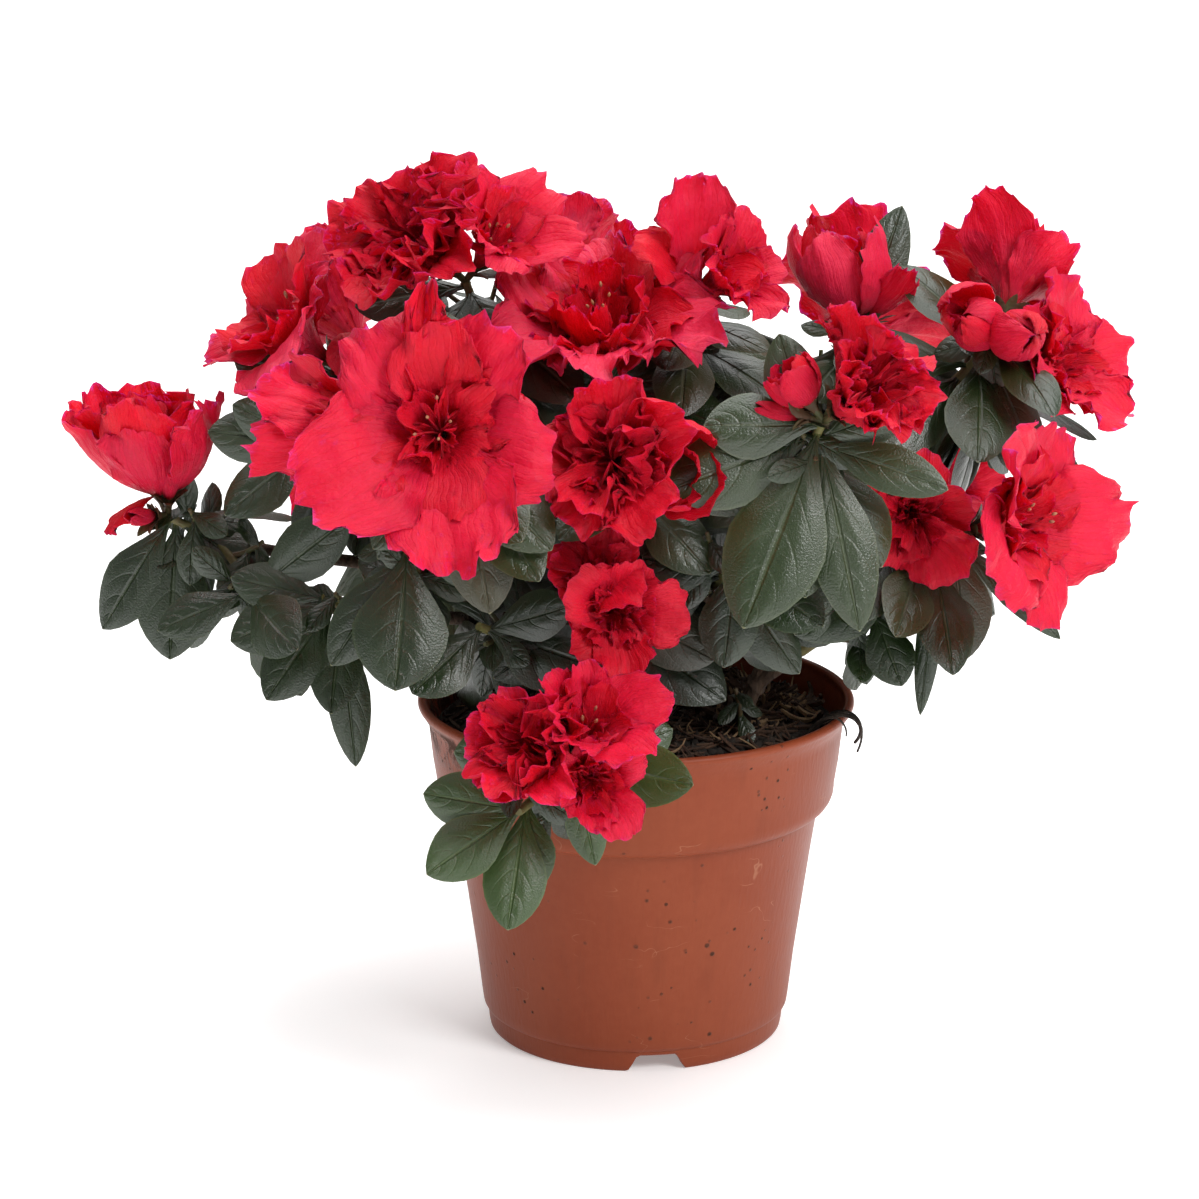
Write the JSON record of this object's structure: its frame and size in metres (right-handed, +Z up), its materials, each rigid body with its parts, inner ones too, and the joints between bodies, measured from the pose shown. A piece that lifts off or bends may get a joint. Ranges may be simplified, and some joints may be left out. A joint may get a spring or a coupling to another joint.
{
  "type": "potted azalea shrub",
  "caption": "Flowering azalea in a plain tapered plastic pot: short trunk, slender boughs, dark oval leaves and ruffled double red blooms.",
  "frame": {"origin": "centre of the pot's flat underside, where the plant stands", "axes": "+Z up along the pot's axis; +X to the right across the widest spread of the crown; -Y towards the viewed front"},
  "size_m": [0.2871, 0.2166, 0.2463],
  "materials": {
    "pot": "smooth terracotta-coloured plastic, slightly satin",
    "soil": "dark moist peat with bark fibres",
    "bark": "thin brown bark, rough",
    "foliage": "leathery dark green leaves with ruffled red petals"
  },
  "bodies": {
    "root": {"back_centre": "foliage", "back_left": "foliage", "back_low": "foliage", "back_low_left": "foliage", "back_low_right": "foliage", "back_right": "foliage", "bough_back_centre": "bark", "bough_back_left": "bark", "bough_back_low": "bark", "bough_back_low_left": "bark", "bough_back_low_right": "bark", "bough_back_right": "bark", "bough_centre": "bark", "bough_far_left": "bark", "bough_far_right": "bark", "bough_far_right_crown": "bark", "bough_front_left": "bark", "bough_front_low": "bark", "bough_front_right": "bark", "bough_inner_right": "bark", "bough_left_low": "bark", "bough_lower_centre": "bark", "bough_right_crown": "bark", "bough_rim_left": "bark", "bough_rim_right": "bark", "bough_top_centre": "bark", "bough_top_left": "bark", "bough_top_right": "bark", "bough_upper_left": "bark", "centre": "foliage", "far_left": "foliage", "far_right": "foliage", "far_right_crown": "foliage", "front_left": "foliage", "front_low": "foliage", "front_right": "foliage", "inner_right": "foliage", "left_low": "foliage", "lower_centre": "foliage", "pot": "pot", "right_crown": "foliage", "rim_left": "foliage", "rim_right": "foliage", "side_stem": "bark", "soil": "soil", "top_centre": "foliage", "top_left": "foliage", "top_right": "foliage", "trunk": "bark", "upper_left": "foliage"}
  },
  "joints": []
}
